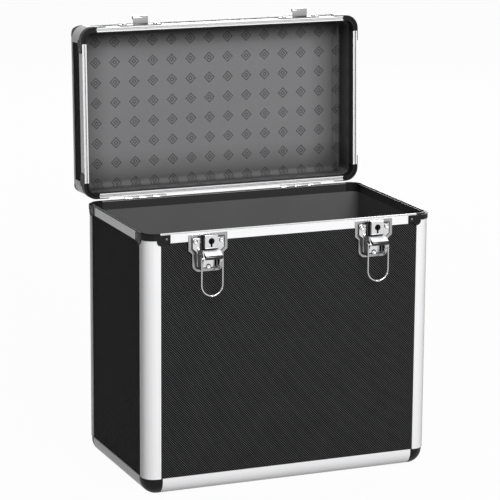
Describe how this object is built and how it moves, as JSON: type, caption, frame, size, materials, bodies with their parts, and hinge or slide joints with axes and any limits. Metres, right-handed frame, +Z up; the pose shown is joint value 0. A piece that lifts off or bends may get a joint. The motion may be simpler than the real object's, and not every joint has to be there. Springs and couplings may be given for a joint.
{
  "type": "record carrying case",
  "caption": "Open carrying case for records: aluminium-edged black panels, a lined hinged lid, lockable draw latches with wire loops, and a folding handle.",
  "frame": {"origin": "the middle of the case's underside", "axes": "+Z up, -Y towards the front with the latches, +X to the right of someone facing the front"},
  "size_m": [0.3534, 0.2921, 0.5151],
  "materials": {
    "laminate": "embossed black laminate, fine diagonal ribs",
    "aluminium": "satin anodised",
    "corner_plastic": "moulded, fine grain",
    "chrome": "bright nickel-chrome plate",
    "lining": "soft embossed foam sheet",
    "lock_metal": "dark, oiled",
    "grip_plastic": "ribbed, soft sheen"
  },
  "bodies": {
    "case": {"front_panel": "laminate", "back_panel": "laminate", "left_panel": "laminate", "right_panel": "laminate", "bottom_panel": "laminate", "body_lining": "lining", "body_post_front_left": "aluminium", "body_post_front_right": "aluminium", "body_post_back_left": "aluminium", "body_post_back_right": "aluminium", "bottom_rail_front": "aluminium", "bottom_rail_back": "aluminium", "bottom_rail_left": "aluminium", "bottom_rail_right": "aluminium", "body_rim_front": "aluminium", "body_rim_back": "aluminium", "body_rim_left": "aluminium", "body_rim_right": "aluminium", "bottom_corners": "corner_plastic", "body_rim_corners": "corner_plastic", "body_corner_screws": "chrome", "hinge_body_leaves": "chrome", "hinge_pins": "chrome", "latch_base_left": "chrome", "latch_base_right": "chrome", "lever_pins": "chrome", "body_rivets": "chrome"},
    "lid": {"lid_top_panel": "laminate", "lid_front_wall": "laminate", "lid_back_wall": "laminate", "lid_left_wall": "laminate", "lid_right_wall": "laminate", "lid_lining": "lining", "lid_posts": "aluminium", "lid_long_rails": "aluminium", "lid_short_rails": "aluminium", "lid_rim_front": "aluminium", "lid_rim_back": "aluminium", "lid_rim_left": "aluminium", "lid_rim_right": "aluminium", "lid_top_corners": "corner_plastic", "lid_rim_corners": "corner_plastic", "lid_corner_screws": "chrome", "keeper_left": "chrome", "keeper_right": "chrome", "hinge_lid_leaves": "chrome", "lid_rivets": "chrome", "handle_brackets": "chrome", "handle_pins": "chrome"},
    "handle": {"handle_grip": "grip_plastic"},
    "lever_left": {"latch_lever_left": "chrome", "lock_housing_left": "chrome"},
    "core_left": {"lock_core_left": "lock_metal"},
    "roller_left": {"loop_roller_left": "chrome"},
    "loop_left": {"latch_loop_left": "chrome"},
    "lever_right": {"latch_lever_right": "chrome", "lock_housing_right": "chrome"},
    "core_right": {"lock_core_right": "lock_metal"},
    "roller_right": {"loop_roller_right": "chrome"},
    "loop_right": {"latch_loop_right": "chrome"}
  },
  "joints": [
    {"name": "lid_hinge", "type": "hinge", "parent": "case", "child": "lid", "pos_m": [0, 0.1028, 0.301], "axis": [1, 0, 0], "range_deg": [0, 92]},
    {"name": "handle_swing", "type": "hinge", "parent": "lid", "child": "handle", "pos_m": [0, 0.16345, 0.40175], "axis": [1, 0, 0], "range_deg": [-2, 178]},
    {"name": "lever_left_swing", "type": "hinge", "parent": "case", "child": "lever_left", "pos_m": [-0.1013, -0.112, 0.279], "axis": [1, 0, 0], "range_deg": [0, 90]},
    {"name": "lock_left_turn", "type": "hinge", "parent": "lever_left", "child": "core_left", "pos_m": [-0.1013, -0.108, 0.2926], "axis": [0, -1, 0], "range_deg": [0, 90]},
    {"name": "roller_left_turn", "type": "hinge", "parent": "lever_left", "child": "roller_left", "pos_m": [-0.1013, -0.1145, 0.274], "axis": [1, 0, 0], "range_deg": [-90, 0]},
    {"name": "loop_left_swing", "type": "hinge", "parent": "roller_left", "child": "loop_left", "pos_m": [-0.1013, -0.1145, 0.274], "axis": [-1, 0, 0], "range_deg": [0, 186.2]},
    {"name": "lever_right_swing", "type": "hinge", "parent": "case", "child": "lever_right", "pos_m": [0.1013, -0.112, 0.279], "axis": [1, 0, 0], "range_deg": [0, 90]},
    {"name": "lock_right_turn", "type": "hinge", "parent": "lever_right", "child": "core_right", "pos_m": [0.1013, -0.108, 0.2926], "axis": [0, -1, 0], "range_deg": [0, 90]},
    {"name": "roller_right_turn", "type": "hinge", "parent": "lever_right", "child": "roller_right", "pos_m": [0.1013, -0.1145, 0.274], "axis": [1, 0, 0], "range_deg": [-90, 0]},
    {"name": "loop_right_swing", "type": "hinge", "parent": "roller_right", "child": "loop_right", "pos_m": [0.1013, -0.1145, 0.274], "axis": [-1, 0, 0], "range_deg": [0, 186.2]}
  ],
  "couplings": [
    {"joint": "roller_left_turn", "follows": "lever_left_swing", "ratio": -1},
    {"joint": "roller_right_turn", "follows": "lever_right_swing", "ratio": -1}
  ]
}
